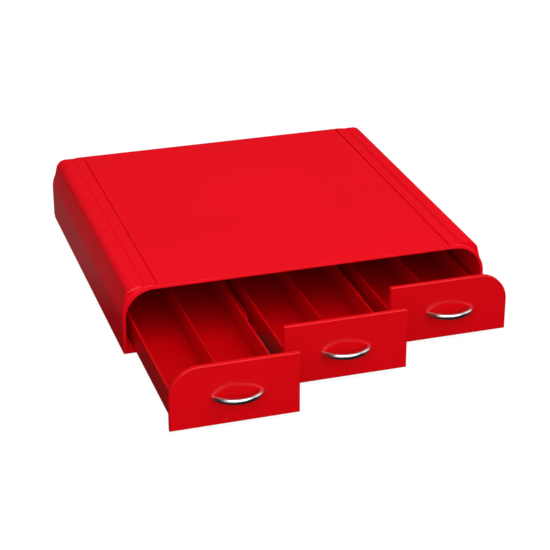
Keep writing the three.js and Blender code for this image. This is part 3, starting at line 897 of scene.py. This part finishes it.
def place_screw(name, node, body, way):
    """Copy the screw to where its node is, with its head below ("up") or behind ("front")."""
    low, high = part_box(node)
    middle = (low + high) / 2
    if way == "up":
        head, turn, length = Vector((middle.x, middle.y, low.z)), (0, 0, 0), high.z - low.z
    else:
        head, turn, length = Vector((middle.x, high.y, middle.z)), OUT_OF_FRONT, high.y - low.y
    share = (high.x - low.x) / 2 / HEAD_R
    straight = copy_piece(screw, name)
    pick(straight, "VERT", lambda at, way: True)
    bpy.ops.transform.resize(value=(share, share, share), center_override=(0, 0, 0))
    pick(straight, "VERT", lambda at, way: at.z > share * (HEAD_HIGH + SHANK_R / 2))
    grow = length - share * (HEAD_HIGH + SHANK_R + TIP)
    bpy.ops.transform.translate(value=(0, 0, grow))
    finish_piece(put(straight, head, turn), zinc, "screw_steel", body, node)


base_screws = sorted(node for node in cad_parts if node.startswith("base_screw_"))
for node in base_screws:
    place_screw(node.replace("base_screw", "pan_screw"), node, "casing", "up")
for name in DRAWERS:
    for mark in "ab":
        place_screw(
            f"{name}_pull_screw_{mark}", f"{name}_handle_screw_{mark}", name + "_drawer", "front"
        )
bpy.data.objects.remove(screw)

# %% [markdown]
# ## Base plate
# The base plate closes the casing from below. It could be a plain board, but a moulded one has
# shallow panels between stiffening ribs, a seat for each foot and a sunk seat for each screw head.
# The panels are cut as shallow blocks, and the round seats as cylinders at the places of the feet
# and screws.

# %% Make the base plate
BASE_EDGE_R, BASE_CORNER_R = 0.6 * MM, 6 * MM
PANEL_DEEP, PANEL_CORNER_R = 0.7 * MM, 5 * MM
RIB_WIDE = 8 * MM
SCREW_SPACE = 12 * MM

base_low, base_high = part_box("base_plate")
base = block("base_moulding", base_low, base_high)
round_edges(base, BASE_CORNER_R, 5, lambda at, way: abs(way.z) > 0.9 and at.y > 0)
round_edges(base, BASE_EDGE_R, 3, lambda at, way: near(at.z, base_low.z))
panel_wide = (base_high.x - base_low.x - 2 * SCREW_SPACE - 2 * RIB_WIDE) / 3
panel_long = (base_high.y - base_low.y - 3 * SCREW_SPACE) / 2
for column in range(3):
    for row in range(2):
        panel_x = base_low.x + SCREW_SPACE + column * (panel_wide + RIB_WIDE)
        panel_y = base_low.y + SCREW_SPACE + row * (panel_long + SCREW_SPACE)
        panel = block(
            "panel", (panel_x, panel_y, base_low.z - PAST),
            (panel_x + panel_wide, panel_y + panel_long, base_low.z + PANEL_DEEP),
        )
        round_edges(panel, PANEL_CORNER_R, 4, lambda at, way: abs(way.z) > 0.9)
        combine(base, panel, "DIFFERENCE")
work_on(base)
print("base:", len(base.data.polygons), "faces")

# %% [markdown]
# Each foot and screw sits in a ring of full thickness, so a boss is added around its place before
# the seat is cut into it.

# %% Cut the seats and finish the base
FOOT_NODES = sorted(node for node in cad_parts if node.startswith("foot_"))
BOSS_WALL, BOSS_GRIP = 2.2 * MM, 0.5 * MM


def seat(middle, radius, top, through):
    """Add a boss round a place on the base, and cut a round seat and a through hole into it."""
    spot = Vector((middle.x, middle.y, 0))
    for rod_radius, low_z, high_z, how in (
        (radius + BOSS_WALL, base_low.z, base_low.z + PANEL_DEEP + BOSS_GRIP, "UNION"),
        (radius + FIT, base_low.z - PAST, top, "DIFFERENCE"),
        (through, base_low.z, base_high.z + PAST, "DIFFERENCE"),
    ):
        if rod_radius:
            combine(base, put(upright_rod("tool", rod_radius, low_z, high_z), spot), how)


for node in FOOT_NODES:
    foot_low, foot_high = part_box(node)
    seat((foot_low + foot_high) / 2, (foot_high.x - foot_low.x) / 2, foot_high.z + FIT, 0)
for node in base_screws:
    screw_low, screw_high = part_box(node)
    seat((screw_low + screw_high) / 2, HEAD_R, screw_low.z + HEAD_HIGH + FIT, SHANK_R + FIT)
finish_piece(base, casing_red, "casing_plastic", "casing", "base_plate")

# %% [markdown]
# ## Feet
# A foot is a rubber puck pressed into the base. Its lower rim is rounded, and a dished middle lets
# it grip: an inset and a short extrude inwards.

# %% Make one foot and copy it
DISH_RIM, DISH_DEEP = 0.4, 0.4 * MM
PUCK_RIM_R, PUCK_SIDES = 0.5 * MM, 48

low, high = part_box(FOOT_NODES[0])
foot_r = (high.x - low.x) / 2
puck = upright_rod("puck", foot_r, 0, high.z - low.z, PUCK_SIDES)
pick(puck, "FACE", lambda at, way: way.z < -0.9)
bpy.ops.mesh.inset(thickness=foot_r * DISH_RIM)
bpy.ops.mesh.extrude_region_move(TRANSFORM_OT_translate={"value": (0, 0, DISH_DEEP)})
round_edges(
    puck, PUCK_RIM_R, 4, lambda at, way: near(at.z, 0) and at.xy.length > foot_r * 0.9
)
for node in FOOT_NODES:
    low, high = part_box(node)
    pad = copy_piece(puck, node.replace("foot_", "rubber_pad_"), ((low + high) / 2).xy.to_3d())
    finish_piece(pad, rubber, "foot_rubber", "casing", node)
bpy.data.objects.remove(puck)

# %% [markdown]
# ## Back panel
# The back panel is an arch that drops into the casing's back, notched at its feet for the
# flanges. Its outer face has one long shallow panel, as such a flat moulding would warp without.

# %% Make the back panel
low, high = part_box("back_panel")
PANEL_EDGE = 9 * MM
PANEL_SUNK = 0.8 * MM

back = arch("back_moulding", high.x, low.y, high.y, low.z, high.z, INNER_R - FIT)
for side in (-1, 1):
    left_x, right_x = span(side, INNER_HALF - FLANGE_IN - FIT, HALF_WIDTH)
    notch = block(
        "notch", (left_x, low.y - PAST, low.z - PAST),
        (right_x, high.y + PAST, FLOOR_Z + FLANGE_HIGH + FIT),
    )
    combine(back, notch, "DIFFERENCE")
sunk = arch(
    "sunk", high.x - PANEL_EDGE, high.y - PANEL_SUNK, high.y + PAST, low.z + PANEL_EDGE,
    high.z - PANEL_EDGE, INNER_R - FIT - PANEL_EDGE,
)
combine(back, sunk, "DIFFERENCE")
round_edges(back, FINE_R, 2, lambda at, way: near(at.y, high.y))
finish_piece(back, casing_red, "casing_plastic", "casing", "back_panel")

# %% [markdown]
# ## Guides and plugs
# The two guide rails and the two rail plugs already have their right shape in the working model.
# They stay, with two live modifiers: Weld joins their loose triangles and Bevel rounds their
# edges. They also get the casing's plastic.

# %% Finish the guides and plugs
GUIDE_EDGE_R = 0.25 * MM

for node in ("guide_rail_left", "guide_rail_right", "rail_plug_left", "rail_plug_right"):
    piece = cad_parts[node]
    piece.modifiers.new("join", "WELD").merge_threshold = TOUCHING
    rounding = piece.modifiers.new("round", "BEVEL")
    rounding.width = GUIDE_EDGE_R
    rounding.segments = 2
    rounding.limit_method = "ANGLE"
    rounding.angle_limit = SHARP
    piece.data.materials.clear()
    piece.data.materials.append(casing_red)
print("guides and plugs finished")
